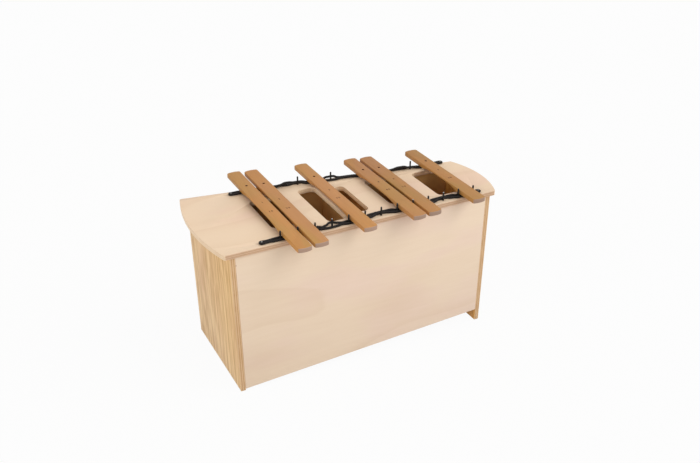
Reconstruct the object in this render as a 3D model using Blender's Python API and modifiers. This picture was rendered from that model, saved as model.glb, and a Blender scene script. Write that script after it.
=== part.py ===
"""Bass xylophone: a plywood resonator box with six wooden tone bars on two double cords.

Metres, +Z up. X runs along the box, from the low notes to the high ones, and Y from its front
to its back. The origin is on the floor, midway along the box and midway along the longest bar.
"""

import math

import bmesh
import bpy
import numpy as np
from mathutils import Matrix, Vector

# The box, and the gap that is left between pieces that touch
BOX_LENGTH = 1.000
BOX_DEPTH_LEFT = 0.430
BOX_DEPTH_RIGHT = 0.275
BOX_HEIGHT = 0.537
END_THICKNESS = 0.018
FRONT_THICKNESS = 0.014
BACK_THICKNESS = 0.014
FOOT_GAP_LEFT = 0.005
FOOT_GAP_RIGHT = 0.050
BOTTOM_THICKNESS = 0.010
BOTTOM_RECESS = 0.012
PARTITION_THICKNESS = 0.012
SEAM = 0.0003

# The lid
LID_THICKNESS = 0.017
LID_FRONT_OVERHANG = 0.004
LID_BACK_OVERHANG = 0.020
LID_CORNER_OVERHANG = 0.018
LID_END_BULGE = 0.034
LID_CORNER_RADIUS = 0.008
LID_EDGE_ROUNDING = 0.001
LID_ARC_STEPS = 18

# The note places: twelve slots, counted from the left, between thirteen front pins
SLOTS = 12
SLOT_PITCH = 0.0625
FIRST_PIN_IN = 0.1828
FRONT_ROW_IN = 0.0157
BACK_ROW_BEHIND = 0.0022
BACK_PIN_RIGHT = 0.0025
BACK_PIN_SLOTS = (1, 2, 4, 5, 6, 8, 9, 11, 12)

# The lid's openings: first and last slot, reach to the left of the first slot's middle and to
# the right of the last one's, and the front and back edges, measured in from the box's front
OPENINGS = (
    (1, 2, 0.0250, 0.0250, 0.095, 0.320),
    (4, 5, 0.0246, -0.0155, 0.052, 0.325),
    (6, 6, 0.0260, 0.0195, 0.073, 0.290),
    (8, 9, 0.0219, 0.0245, 0.070, 0.285),
    (11, 12, 0.0210, 0.0250, 0.055, 0.264),
)
OPENING_RADIUS = 0.020

# The places of the walls between the sound chambers, counted in slots
PARTITION_SLOTS = (3, 5.46, 7, 10)

# The tone bars: slot, reach in front of the box's front, and reach behind it
BARS = (
    (1, 0.1120, 0.5345),
    (2, 0.1050, 0.5205),
    (5, 0.0850, 0.4865),
    (8, 0.0870, 0.4455),
    (9, 0.0850, 0.4325),
    (12, 0.0730, 0.4095),
)
BAR_RIGHT = 0.0017
BAR_WIDTH = 0.0515
BAR_THICKNESS = 0.0170
BAR_MIDDLE_THICKNESS = 0.0075
BAR_END_BOW = 0.0050
BAR_BOW_STEPS = 6
BAR_CORNER_RADIUS = 0.0080
BAR_EDGE_ROUNDING = 0.0018
ARCH_SET_BACK = 0.028
ARCH_STEPS = 18
BAR_HOLE_DIAMETER = 0.0090
BAR_HOLE_CHAMFER = 0.0010

# The cords: two strands side by side on the lid, either side of the pins or both behind one,
# that pass over each other in some open places and are looped round a nail at each end
CORD_DIAMETER = 0.0070
STRAND_GAP = 0.0011
PIN_GAP = 0.0004
CORD_STEPS = 10
LOOP_STEPS = 12
FRONT_EYE_SPREAD = 0.0240
BACK_EYE_SPREAD = 0.0220

# The cords' nails, measured along and across their row from its first or last pin
FRONT_NAIL_LEFT = (-0.0653, 0.0)
FRONT_NAIL_RIGHT = (0.0237, 0.0008)
BACK_NAIL_LEFT = (-0.0600, 0.0016)
BACK_NAIL_RIGHT = (0.0672, 0.0025)

# The pins and nails. A back pin that holds a bar ends sunk below the bar's top
FRONT_PIN_HEIGHT = 0.0325
FRONT_PIN_DIAMETER = 0.0062
BACK_PIN_HEIGHT = 0.0335
BACK_PIN_DIAMETER = 0.0060
BAR_PIN_SUNK = 0.0026
SHANK_DIAMETER = 0.0030
HEAD_THICKNESS = 0.0016
HEAD_DIAMETER = 0.0052
NAIL_DEPTH = 0.0120
NAIL_POINT = 0.0030
FIT_GAP = 0.0003
TURN_STEPS = 12

# Places that follow from the sizes above
LEFT = -BOX_LENGTH / 2
RIGHT = BOX_LENGTH / 2
FRONT = (max(bar[1] for bar in BARS) - max(bar[2] for bar in BARS)) / 2
LID_TOP = BOX_HEIGHT + LID_THICKNESS
CORD_RADIUS = CORD_DIAMETER / 2
CLOSE = CORD_DIAMETER + STRAND_GAP
BAR_BOTTOM = LID_TOP + SEAM + CORD_DIAMETER + SEAM
BAR_PIN_HEIGHT = BAR_BOTTOM + BAR_THICKNESS - BAR_PIN_SUNK - LID_TOP
BACK_SLOPE = (BOX_DEPTH_RIGHT - BOX_DEPTH_LEFT) / BOX_LENGTH
FRONT_CLEAR = FRONT_PIN_DIAMETER / 2 + PIN_GAP + CORD_RADIUS
BACK_CLEAR = BACK_PIN_DIAMETER / 2 + PIN_GAP + CORD_RADIUS
NAIL_CLEAR = SHANK_DIAMETER / 2 + PIN_GAP + CORD_RADIUS
HOLE_RADIUS = SHANK_DIAMETER / 2 + FIT_GAP
SMALL = 0.00001


def back_at(x):
    """The y of the box's back, which slants from the deep left end to the shallow right one."""
    return FRONT + BOX_DEPTH_LEFT + BACK_SLOPE * (x - LEFT)


def foot_at(x):
    """The height of the front and back panels' slanted lower edges."""
    return FOOT_GAP_LEFT + (FOOT_GAP_RIGHT - FOOT_GAP_LEFT) * (x - LEFT) / BOX_LENGTH


def slot_at(slot):
    """The x of a slot's middle. A half number is the pin between two slots."""
    return LEFT + FIRST_PIN_IN + (slot - 0.5) * SLOT_PITCH


def front_row(place):
    """A place on the front row, counted in pins."""
    return np.array((slot_at(place - 0.5), FRONT + FRONT_ROW_IN))


def back_row(place):
    """A place on the slanted back row, counted in slots. Its pins stand right of the middles."""
    x = slot_at(place) + BACK_PIN_RIGHT
    return np.array((x, back_at(x) + BACK_ROW_BEHIND))


def opening_sides(opening):
    """The left and right edges of a lid opening."""
    first, last, reach_left, reach_right = opening[:4]
    return slot_at(first) - reach_left, slot_at(last) + reach_right


def clear_scene():
    for old in list(bpy.data.objects):
        bpy.data.objects.remove(old, do_unlink=True)


def new_collection(name, hidden=False):
    collection = bpy.data.collections.new(name)
    collection.hide_render = hidden
    bpy.context.scene.collection.children.link(collection)
    return collection


def material(name, colour, roughness, metallic=0.0):
    made = bpy.data.materials.new(name)
    made.use_nodes = True
    shader = made.node_tree.nodes["Principled BSDF"]
    shader.inputs["Base Color"].default_value = (*colour, 1.0)
    shader.inputs["Roughness"].default_value = roughness
    shader.inputs["Metallic"].default_value = metallic
    return made


def add_piece(name, data, finish=None, location=(0, 0, 0), rotation=(0, 0, 0)):
    """A piece of the xylophone, or a hidden cutter where it has no finish."""
    piece = bpy.data.objects.new(name, data)
    piece.location = location
    piece.rotation_euler = rotation
    if finish is None:
        cutters.objects.link(piece)
        piece.hide_render = True
        piece.display_type = "WIRE"
        return piece
    if not data.materials:
        data.materials.append(finish)
    parts.objects.link(piece)
    piece.parent = stand
    return piece


def mesh_from(name, body):
    mesh = bpy.data.meshes.new(name)
    body.to_mesh(mesh)
    body.free()
    return mesh


def block(name, left, right, finish):
    """A board whose left and right ends are given as x, front y, back y, low z and high z."""
    body = bmesh.new()
    bmesh.ops.create_cube(body, size=2.0)
    for corner in body.verts:
        x, front, back, low, high = right if corner.co.x > 0 else left
        y = back if corner.co.y > 0 else front
        z = high if corner.co.z > 0 else low
        corner.co = (x, y, z)
    return add_piece(name, mesh_from(name, body), finish)


def arc(centre, radius, start, end, steps):
    """Points on a circle, from one angle in degrees to another."""
    angles = [math.radians(start + (end - start) * i / steps) for i in range(steps + 1)]
    return [(centre[0] + radius * math.cos(a), centre[1] + radius * math.sin(a)) for a in angles]


def rounded_rectangle(left, right, front, back, radius, steps):
    """Counter-clockwise points of a rectangle with round corners."""
    corners = (
        ((right - radius, back - radius), 0),
        ((left + radius, back - radius), 90),
        ((left + radius, front + radius), 180),
        ((right - radius, front + radius), 270),
    )
    points = []
    for centre, start in corners:
        points += arc(centre, radius, start, start + 90, steps)
    return points


def bulged(start, end, bulge, steps):
    """Points between two corners on a circle that stands out by the bulge, to the right."""
    start, end = Vector(start), Vector(end)
    half = (end - start) / 2
    out = Vector((half.y, -half.x)).normalized()
    radius = (half.length_squared + bulge * bulge) / (2 * bulge)
    centre = start + half + out * (bulge - radius)
    turn = math.asin(half.length / radius)
    along = half.normalized()
    angles = [turn * (2 * i / steps - 1) for i in range(steps + 1)]
    return [centre + radius * (out * math.cos(a) + along * math.sin(a)) for a in angles]


def round_off(points, corners, radius, steps):
    """The outline with an arc, tangent to both sides, in place of each corner listed."""
    rounded = []
    for i, point in enumerate(points):
        point = Vector(point)
        if i not in corners:
            rounded.append(point)
            continue
        before = (Vector(points[i - 1]) - point).normalized()
        after = (Vector(points[(i + 1) % len(points)]) - point).normalized()
        half_angle = before.angle(after) / 2
        centre = point + (before + after).normalized() * radius / math.sin(half_angle)
        first = point + before * radius / math.tan(half_angle) - centre
        turn = math.pi - 2 * half_angle
        side = math.copysign(1.0, first.x * (-before.y) - first.y * (-before.x))
        for step in range(steps + 1):
            spin = Matrix.Rotation(side * turn * step / steps, 2)
            rounded.append(centre + spin @ first)
    return rounded


def plate_mesh(name, outlines, thickness):
    """A flat plate with any holes, as thick as said and centred on its own XY plane."""
    curve = bpy.data.curves.new(name, "CURVE")
    curve.dimensions = "2D"
    curve.fill_mode = "BOTH"
    curve.extrude = thickness / 2
    for outline in outlines:
        spline = curve.splines.new("POLY")
        spline.points.add(len(outline) - 1)
        for point, place in zip(spline.points, outline):
            point.co = (place[0], place[1], 0.0, 1.0)
        spline.use_cyclic_u = True
    holder = bpy.data.objects.new(name, curve)
    bpy.context.scene.collection.objects.link(holder)
    graph = bpy.context.evaluated_depsgraph_get()
    mesh = bpy.data.meshes.new_from_object(holder.evaluated_get(graph))
    bpy.data.objects.remove(holder)
    body = bmesh.new()
    body.from_mesh(mesh)
    bmesh.ops.remove_doubles(body, verts=body.verts, dist=SMALL)
    bmesh.ops.recalc_face_normals(body, faces=body.faces)
    body.to_mesh(mesh)
    body.free()
    mesh.materials.clear()
    return mesh


def soften(piece, width, segments):
    bevel = piece.modifiers.new("rounding", "BEVEL")
    bevel.width = width
    bevel.segments = segments
    bevel.limit_method = "ANGLE"
    bevel.angle_limit = math.radians(50)


def cut(piece, cutter, solver="EXACT"):
    change = piece.modifiers.new(cutter.name, "BOOLEAN")
    change.operation = "DIFFERENCE"
    change.solver = solver
    change.object = cutter


def turned(name, profile, finish, location):
    """A round piece turned about its own Z from (radius, height) points, top to bottom."""
    shape = (name, *profile)
    if shape not in turnings:
        mesh = bpy.data.meshes.new(name)
        points = [(radius, 0.0, height) for radius, height in profile]
        edges = [(i, i + 1) for i in range(len(points) - 1)]
        if profile[0][0] > 0:
            edges.append((len(points) - 1, 0))
        mesh.from_pydata(points, edges, [])
        turnings[shape] = mesh
    number = sum(made.name.startswith(name) for made in parts.objects) + 1
    piece = add_piece(f"{name}_{number:02d}", turnings[shape], finish, location)
    screw = piece.modifiers.new("turn", "SCREW")
    screw.steps = TURN_STEPS
    screw.render_steps = TURN_STEPS
    screw.use_merge_vertices = True
    screw.merge_threshold = SMALL
    return piece


def make_box():
    """The plywood box: two end boards that stand on the floor, and the panels between them."""
    top = BOX_HEIGHT - SEAM
    inner_left = LEFT + END_THICKNESS + SEAM
    inner_right = RIGHT - END_THICKNESS - SEAM

    def end(name, outer, inner):
        sides = sorted((outer, inner))
        faces = [(x, FRONT, back_at(outer), 0.0, top) for x in sides]
        block(name, *faces, ply)

    end("left_end_panel", LEFT, LEFT + END_THICKNESS)
    end("right_end_panel", RIGHT, RIGHT - END_THICKNESS)

    def across(name, front, back, low, high, left=inner_left, right=inner_right):
        faces = [(x, front(x), back(x), low(x), high(x)) for x in (left, right)]
        block(name, *faces, ply)

    front_inner = FRONT + FRONT_THICKNESS + SEAM
    across("front_panel", lambda x: FRONT, lambda x: FRONT + FRONT_THICKNESS, foot_at,
           lambda x: top)
    across("back_panel", lambda x: back_at(x) - BACK_THICKNESS, back_at, foot_at, lambda x: top)

    def back_inner(x):
        return back_at(x) - BACK_THICKNESS - SEAM

    def floor_low(x):
        return foot_at(x) + BOTTOM_RECESS

    def floor_high(x):
        return floor_low(x) + BOTTOM_THICKNESS

    across("bottom_panel", lambda x: front_inner, back_inner, floor_low, floor_high)
    for number, slot in enumerate(PARTITION_SLOTS, start=1):
        middle = slot_at(slot)
        across(f"partition_{number}", lambda x: front_inner, back_inner,
               lambda x: floor_high(x) + SEAM, lambda x: top,
               middle - PARTITION_THICKNESS / 2, middle + PARTITION_THICKNESS / 2)


def lid_outline():
    """The lid in plan: straight front, slanted back, and ends that bulge past the end boards."""
    left = LEFT - LID_CORNER_OVERHANG
    right = RIGHT + LID_CORNER_OVERHANG
    front = FRONT - LID_FRONT_OVERHANG
    back_left = (left, back_at(left) + LID_BACK_OVERHANG)
    back_right = (right, back_at(right) + LID_BACK_OVERHANG)
    right_end = bulged((right, front), back_right, LID_END_BULGE, LID_ARC_STEPS)
    left_end = bulged(back_left, (left, front), LID_END_BULGE, LID_ARC_STEPS)
    points = right_end + left_end
    corners = (0, LID_ARC_STEPS, LID_ARC_STEPS + 1, 2 * LID_ARC_STEPS + 1)
    return round_off(points, corners, LID_CORNER_RADIUS, 4)


def make_lid(nail_places):
    outlines = [lid_outline()]
    for opening in OPENINGS:
        left, right = opening_sides(opening)
        front, back = FRONT + opening[4], FRONT + opening[5]
        outlines.append(rounded_rectangle(left, right, front, back, OPENING_RADIUS, 5))
    mesh = plate_mesh("lid", outlines, LID_THICKNESS)
    lid = add_piece("lid", mesh, ply, (0, 0, BOX_HEIGHT + LID_THICKNESS / 2))
    soften(lid, LID_EDGE_ROUNDING, 1)
    body = bmesh.new()
    depth = NAIL_DEPTH + FIT_GAP
    for x, y in nail_places:
        place = Matrix.Translation((x, y, LID_TOP))
        bmesh.ops.create_cone(body, cap_ends=True, segments=TURN_STEPS, radius1=HOLE_RADIUS,
                              radius2=HOLE_RADIUS, depth=2 * depth, matrix=place)
    cut(lid, add_piece("nail_holes", mesh_from("nail_holes", body)), "MANIFOLD")
    return lid


def arch_outline(front, back):
    """The arch below a bar, seen from its side: a fourth-power hollow between the cords."""
    depth = BAR_THICKNESS - BAR_MIDDLE_THICKNESS
    middle, half = (front + back) / 2, (back - front) / 2
    points = [(front, -BAR_THICKNESS), (back, -BAR_THICKNESS)]
    for step in range(ARCH_STEPS + 1):
        t = 1 - 2 * step / ARCH_STEPS
        points.append((middle + t * half, depth * (1 - t ** 4)))
    return points


def bar_outline(near, far):
    """A bar in plan, seen from its pin: straight sides, bowed ends and rounded corners."""
    middle = BAR_RIGHT - BACK_PIN_RIGHT
    left, right = middle - BAR_WIDTH / 2, middle + BAR_WIDTH / 2
    far_corner, near_corner = far - BAR_END_BOW, near + BAR_END_BOW
    points = bulged((right, far_corner), (left, far_corner), BAR_END_BOW, BAR_BOW_STEPS)
    points += bulged((left, near_corner), (right, near_corner), BAR_END_BOW, BAR_BOW_STEPS)
    corners = (0, BAR_BOW_STEPS, BAR_BOW_STEPS + 1, 2 * BAR_BOW_STEPS + 1)
    return round_off(points, corners, BAR_CORNER_RADIUS, 3)


def make_bar(number, slot, front_reach, back_reach):
    """A tone bar, with its origin under its hole, on the back pin that it is threaded on."""
    x, pin_y = back_row(slot)
    outline = bar_outline(FRONT - front_reach - pin_y, FRONT + back_reach - pin_y)
    mesh = plate_mesh(f"tone_bar_{number}", [outline], BAR_THICKNESS)
    mesh.transform(Matrix.Translation((0, 0, BAR_THICKNESS / 2)))
    bar = add_piece(f"tone_bar_{number}", mesh, bar_wood, (x, pin_y, BAR_BOTTOM))
    soften(bar, BAR_EDGE_ROUNDING, 2)

    start = FRONT + FRONT_ROW_IN + ARCH_SET_BACK - pin_y
    profile = arch_outline(start, -ARCH_SET_BACK)
    hollow = plate_mesh(f"arch_{number}", [profile], 2 * BAR_WIDTH)
    sideways = (math.pi / 2, 0, math.pi / 2)
    cut(bar, add_piece(f"arch_{number}", hollow, None, bar.location, sideways))

    body = bmesh.new()
    radius = BAR_HOLE_DIAMETER / 2
    bmesh.ops.create_cone(body, cap_ends=True, segments=16, radius1=radius, radius2=radius,
                          depth=4 * BAR_THICKNESS)
    cut(bar, add_piece(f"bar_hole_{number}", mesh_from("bar_hole", body), None, bar.location))

    body = bmesh.new()
    place = Matrix.Translation((0, 0, BAR_THICKNESS))
    bmesh.ops.create_cone(body, cap_ends=True, segments=16, radius1=radius - BAR_HOLE_CHAMFER,
                          radius2=radius + 3 * BAR_HOLE_CHAMFER, depth=4 * BAR_HOLE_CHAMFER,
                          matrix=place)
    sink = add_piece(f"bar_hole_chamfer_{number}", mesh_from("chamfer", body), None,
                     bar.location)
    cut(bar, sink)
    return bar


def nail_profile(top):
    """A nail with a domed head, from the top of its head to its point in the lid."""
    head, shank, low = HEAD_DIAMETER / 2, SHANK_DIAMETER / 2, -NAIL_DEPTH
    under_head = top - HEAD_THICKNESS
    return [
        (0, top), (head * 0.6, top - HEAD_THICKNESS * 0.15), (head, top - HEAD_THICKNESS * 0.6),
        (head, under_head), (shank, under_head), (shank, low + NAIL_POINT), (0, low),
    ]


def make_front_pin(x, y):
    """A nail in a rubber sleeve. The nail's head lies on the sleeve, its point in the lid."""
    turned("front_pin_nail", nail_profile(FRONT_PIN_HEIGHT), steel, (x, y, LID_TOP))
    outer, inner = FRONT_PIN_DIAMETER / 2, SHANK_DIAMETER / 2 + FIT_GAP
    top = FRONT_PIN_HEIGHT - HEAD_THICKNESS - SEAM
    sleeve = [(outer, top), (outer, SEAM), (inner, SEAM), (inner, top)]
    turned("front_pin_sleeve", sleeve, rubber, (x, y, LID_TOP))


def make_back_pin(x, y, top):
    """A black-sheathed pin with a round top, as high above the lid as said.

    A bar's hole drops over one that ends just below the bar's top. Those without a bar are
    higher.
    """
    radius, shank, low = BACK_PIN_DIAMETER / 2, SHANK_DIAMETER / 2, -NAIL_DEPTH
    profile = [
        (0, top), (radius * 0.7, top - radius * 0.3), (radius, top - radius), (radius, SEAM),
        (shank, SEAM), (shank, low + NAIL_POINT), (0, low),
    ]
    turned("back_pin", profile, black_metal, (x, y, LID_TOP))


def make_cord_nail(x, y):
    """A round-headed nail that a cord's end is looped round."""
    top = SEAM + CORD_DIAMETER + FIT_GAP + HEAD_THICKNESS
    turned("cord_nail", nail_profile(top), steel, (x, y, LID_TOP))


def beside(clear, turn=0):
    """The strands pass either side of a pin, flat on the lid."""
    return 0.0, 2 * clear, turn


def behind(clear, turn):
    """Both strands pass behind a pin."""
    return clear + CLOSE / 2, CLOSE, turn


def opened(clear, spread, turn):
    """The near strand lies against the pin, and the far one is pushed back and up from it."""
    return abs(spread * math.cos(math.radians(turn))) / 2 - clear, spread, turn


def lie(route, place):
    """How the strands lie at a place: the route's values, eased from each station to the next."""
    for start, end in zip(route, route[1:]):
        if place <= end[0]:
            break
    share = min((place - start[0]) / (end[0] - start[0]), 1.0)
    eased = share * share * (3 - 2 * share)
    return [low + eased * (high - low) for low, high in zip(start[1:], end[1:])]


def cord_points(row, route, nails):
    """The whole closed route: out along one strand, round a nail, back along the other.

    Each station of the route gives its place on the row, how far behind the row the two
    strands' middle lies, the spread between them, and their turn about that middle in degrees.
    At 0 both lie on the lid, the first one behind. At 90 that one passes over the other.
    The lower strand always lies on the lid.
    """
    first = row(0)
    pitch = np.linalg.norm(row(1) - first)
    along = (row(1) - first) / pitch
    across = np.array((-along[1], along[0]))
    ends = [((nail - first) @ along / pitch, (nail - first) @ across) for nail in nails]
    turns = (route[0][3], route[-1][3])
    left, right = [(*end, 2 * NAIL_CLEAR, turn) for end, turn in zip(ends, turns)]
    route = [left, *route, right]

    def strand(side):
        points = []
        for place in np.linspace(left[0], right[0], round((right[0] - left[0]) * CORD_STEPS)):
            middle, spread, turn = lie(route, place)
            turn = math.radians(turn)
            reach = middle + side * spread / 2 * math.cos(turn)
            lift = spread / 2 * (abs(math.sin(turn)) + side * math.sin(turn))
            x, y = first + along * place * pitch + across * reach
            points.append((x, y, LID_TOP + SEAM + CORD_RADIUS + lift))
        return points

    def loop(nail, out, side):
        points = []
        for step in range(1, LOOP_STEPS):
            angle = math.pi * (0.5 - step / LOOP_STEPS) * side
            turned_out = out * along * math.cos(angle) + across * math.sin(angle)
            x, y = nail + NAIL_CLEAR * turned_out
            points.append((x, y, LID_TOP + SEAM + CORD_RADIUS))
        return points

    right_loop = loop(nails[1], 1, math.cos(math.radians(turns[1])))
    left_loop = loop(nails[0], -1, -math.cos(math.radians(turns[0])))
    return strand(1) + right_loop + strand(-1)[::-1] + left_loop


def least_self_gap(points, pieces=8):
    """The least clear distance between two stretches of a cord that aren't neighbours."""
    corners = np.array(points)
    following = np.roll(corners, -1, axis=0)
    shares = np.arange(pieces) / pieces
    steps = corners[:, None] + shares[None, :, None] * (following - corners)[:, None]
    dense = steps.reshape(-1, 3)
    lengths = np.linalg.norm(np.roll(dense, -1, axis=0) - dense, axis=1)
    run = np.concatenate([[0.0], np.cumsum(lengths)[:-1]])
    total = lengths.sum()
    least = math.inf
    for i in range(len(dense)):
        along = np.abs(run - run[i])
        apart = np.minimum(along, total - along) > 2.2 * CORD_DIAMETER
        reach = np.linalg.norm(dense[apart] - dense[i], axis=1).min()
        least = min(least, reach)
    return least - CORD_DIAMETER


def make_cord(name, points):
    curve = bpy.data.curves.new(name, "CURVE")
    curve.dimensions = "3D"
    curve.bevel_depth = CORD_RADIUS
    curve.bevel_resolution = 1
    curve.use_fill_caps = True
    spline = curve.splines.new("POLY")
    spline.points.add(len(points) - 1)
    for point, place in zip(spline.points, points):
        point.co = (*place, 1.0)
    spline.use_cyclic_u = True
    add_piece(name, curve, rubber)
    print(f"{name}: least gap to itself {1000 * least_self_gap(points):.2f} mm")


def nail_places(row, last, offsets):
    """The nails at a row's two ends, each offset from the pin that is nearest to it."""
    return [row(place) + np.array(offset) for place, offset in zip((1, last), offsets)]


clear_scene()
parts = new_collection("bass_xylophone")
cutters = new_collection("cutters", hidden=True)
turnings = {}
stand = bpy.data.objects.new("bass_xylophone", None)
parts.objects.link(stand)

ply = material("birch_plywood", (0.79, 0.62, 0.45), 0.55)
bar_wood = material("bar_wood", (0.56, 0.31, 0.13), 0.45)
rubber = material("black_rubber", (0.018, 0.014, 0.012), 0.6)
steel = material("bright_steel", (0.62, 0.60, 0.57), 0.3, 1.0)
black_metal = material("black_sheath", (0.015, 0.013, 0.012), 0.5)

front_pins = [front_row(pin) for pin in range(1, SLOTS + 2)]
back_pins = [back_row(slot) for slot in BACK_PIN_SLOTS]
front_nails = nail_places(front_row, SLOTS + 1, (FRONT_NAIL_LEFT, FRONT_NAIL_RIGHT))
back_nails = nail_places(back_row, SLOTS, (BACK_NAIL_LEFT, BACK_NAIL_RIGHT))

make_box()
make_lid(front_pins + back_pins + front_nails + back_nails)
for index, (bar_slot, ahead, behind_box) in enumerate(BARS, start=1):
    make_bar(index, bar_slot, ahead, behind_box)
for spot in front_pins:
    make_front_pin(*spot)
bar_slots = [bar[0] for bar in BARS]
for place, spot in zip(BACK_PIN_SLOTS, back_pins):
    make_back_pin(*spot, BAR_PIN_HEIGHT if place in bar_slots else BACK_PIN_HEIGHT)
for spot in front_nails + back_nails:
    make_cord_nail(*spot)

front_route = [
    (1, *beside(FRONT_CLEAR)),
    (3.07, *beside(FRONT_CLEAR)),
    (3.27, 0.002, CLOSE, 90),
    (3.62, *opened(FRONT_CLEAR, FRONT_EYE_SPREAD, 188)),
    (4.15, *opened(FRONT_CLEAR, FRONT_EYE_SPREAD, 190)),
    (4.5, 0.003, 0.0150, 195),
    (4.73, 0.001, CLOSE, 270),
    (4.94, *beside(FRONT_CLEAR, 360)),
    (6.04, *beside(FRONT_CLEAR, 360)),
    (6.35, 0.004, 0.0120, 385),
    (6.8, *behind(FRONT_CLEAR, 362)),
    (7.2, *behind(FRONT_CLEAR, 362)),
    (7.65, 0.004, 0.0130, 392),
    (7.95, *beside(FRONT_CLEAR, 360)),
    (10.05, *beside(FRONT_CLEAR, 360)),
    (10.35, 0.004, 0.0120, 385),
    (10.8, *behind(FRONT_CLEAR, 362)),
    (11.2, *behind(FRONT_CLEAR, 362)),
    (11.65, 0.004, 0.0130, 392),
    (11.95, *beside(FRONT_CLEAR, 360)),
    (13, *beside(FRONT_CLEAR, 360)),
]
make_cord("front_cord", cord_points(front_row, front_route, front_nails))

back_route = [
    (1, *beside(BACK_CLEAR)),
    (2, *beside(BACK_CLEAR)),
    (2.45, 0.0, 0.0090, 0),
    (2.95, 0.001, CLOSE, -35),
    (3.4, 0.004, CLOSE, -121),
    (3.8, *behind(BACK_CLEAR, -180)),
    (4.2, *behind(BACK_CLEAR, -180)),
    (4.55, 0.002, 0.0110, -180),
    (5, *beside(BACK_CLEAR, -180)),
    (5.42, 0.001, 0.0120, -180),
    (5.8, *opened(BACK_CLEAR, BACK_EYE_SPREAD, -170)),
    (6.2, *opened(BACK_CLEAR, BACK_EYE_SPREAD, -168)),
    (6.75, 0.001, CLOSE, -212),
    (7.1, 0.001, CLOSE, -300),
    (7.55, 0.0, 0.0100, -360),
    (8, *beside(BACK_CLEAR, -360)),
    (9, *beside(BACK_CLEAR, -360)),
    (9.45, 0.0, 0.0090, -360),
    (9.96, 0.001, CLOSE, -395),
    (10.45, 0.003, CLOSE, -481),
    (10.85, *behind(BACK_CLEAR, -545)),
    (11.15, *behind(BACK_CLEAR, -545)),
    (11.55, 0.0, 0.0110, -540),
    (12, *beside(BACK_CLEAR, -540)),
]
make_cord("back_cord", cord_points(back_row, back_route, back_nails))
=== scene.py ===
import math

import bmesh
import bpy
import numpy as np
from mathutils import Matrix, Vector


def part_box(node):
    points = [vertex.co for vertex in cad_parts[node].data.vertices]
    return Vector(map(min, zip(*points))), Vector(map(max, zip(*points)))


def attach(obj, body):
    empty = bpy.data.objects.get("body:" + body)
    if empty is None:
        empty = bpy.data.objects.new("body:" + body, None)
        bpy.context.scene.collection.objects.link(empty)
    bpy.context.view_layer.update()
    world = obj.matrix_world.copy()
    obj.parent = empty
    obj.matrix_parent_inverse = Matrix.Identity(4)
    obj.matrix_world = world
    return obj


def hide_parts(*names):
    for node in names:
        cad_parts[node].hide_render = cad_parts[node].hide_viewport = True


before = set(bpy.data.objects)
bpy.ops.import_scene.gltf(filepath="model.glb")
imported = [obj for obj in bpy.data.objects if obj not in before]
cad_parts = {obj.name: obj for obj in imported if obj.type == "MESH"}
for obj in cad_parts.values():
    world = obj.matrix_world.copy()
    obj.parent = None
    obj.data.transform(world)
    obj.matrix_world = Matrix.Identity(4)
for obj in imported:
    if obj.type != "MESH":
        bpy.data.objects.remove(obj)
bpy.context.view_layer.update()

# The studio: a white floor under a white sky, a broad soft light from the right front and a
# weaker one low on the left, and the camera where the photograph was taken.
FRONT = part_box("front_panel")[0].y
CAMERA_IN_FRONT = 2.24705
CAMERA_PLACE = (-1.2282, FRONT - CAMERA_IN_FRONT, 1.8893)
CAMERA_TURN = 0.4757
CAMERA_DIP = 0.5734
FOCAL_LENGTH_PIXELS = 849.34
PICTURE_WIDTH, PICTURE_HEIGHT = 700, 463
AXIS_HEIGHT_PIXELS = 299.72
SENSOR_WIDTH = 36.0
FLOOR_HALF_SIDE = 14.0
FLOOR_COLOUR = (0.60, 0.60, 0.60, 1.0)
FLOOR_WHITENING = 0.95
SKY_STRENGTH = 0.66
KEY_STRENGTH = 1.50
KEY_FROM = (0.65, -0.50, 0.57)
FILL_STRENGTH = 0.95
FILL_FROM = (-0.93, -0.28, 0.22)
LIGHT_SPREAD = math.radians(50)


def add_node(tree, kind, inputs=None, **settings):
    """A node with its settings, each input given as a value or as the socket that feeds it."""
    made = tree.nodes.new(kind)
    for key, value in settings.items():
        setattr(made, key, value)
    for key, value in (inputs or {}).items():
        if isinstance(value, bpy.types.NodeSocket):
            tree.links.new(value, made.inputs[key])
        else:
            made.inputs[key].default_value = value
    return made


def seen_directly(tree):
    """One for a ray from the camera, or one that a glossy or clear surface sends on."""
    path = add_node(tree, "ShaderNodeLightPath")
    either = add_node(tree, "ShaderNodeMath", {0: path.outputs["Is Camera Ray"],
                                               1: path.outputs["Is Glossy Ray"]},
                      operation="MAXIMUM")
    return add_node(tree, "ShaderNodeMath", {0: either.outputs[0],
                                             1: path.outputs["Is Transmission Ray"]},
                    operation="MAXIMUM").outputs[0]


def add_light(name, strength, comes_from):
    """A far lamp, as wide as a soft box, that shines from a direction."""
    lamp = bpy.data.lights.new(name, "SUN")
    lamp.energy = strength
    lamp.angle = LIGHT_SPREAD
    light = bpy.data.objects.new(name, lamp)
    x, y, z = np.array(comes_from) / np.linalg.norm(comes_from)
    light.rotation_euler = (math.acos(z), 0.0, math.atan2(x, -y))
    bpy.context.scene.collection.objects.link(light)


world = bpy.data.worlds.new("studio")
world.use_nodes = True
bpy.context.scene.world = world
sky = world.node_tree
strength = add_node(sky, "ShaderNodeMapRange", {"Value": seen_directly(sky),
                                                "To Min": SKY_STRENGTH, "To Max": 1.0})
background = sky.nodes["Background"]
background.inputs["Color"].default_value = (1.0, 1.0, 1.0, 1.0)
sky.links.new(strength.outputs[0], background.inputs["Strength"])
add_light("key_light", KEY_STRENGTH, KEY_FROM)
add_light("fill_light", FILL_STRENGTH, FILL_FROM)

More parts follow.
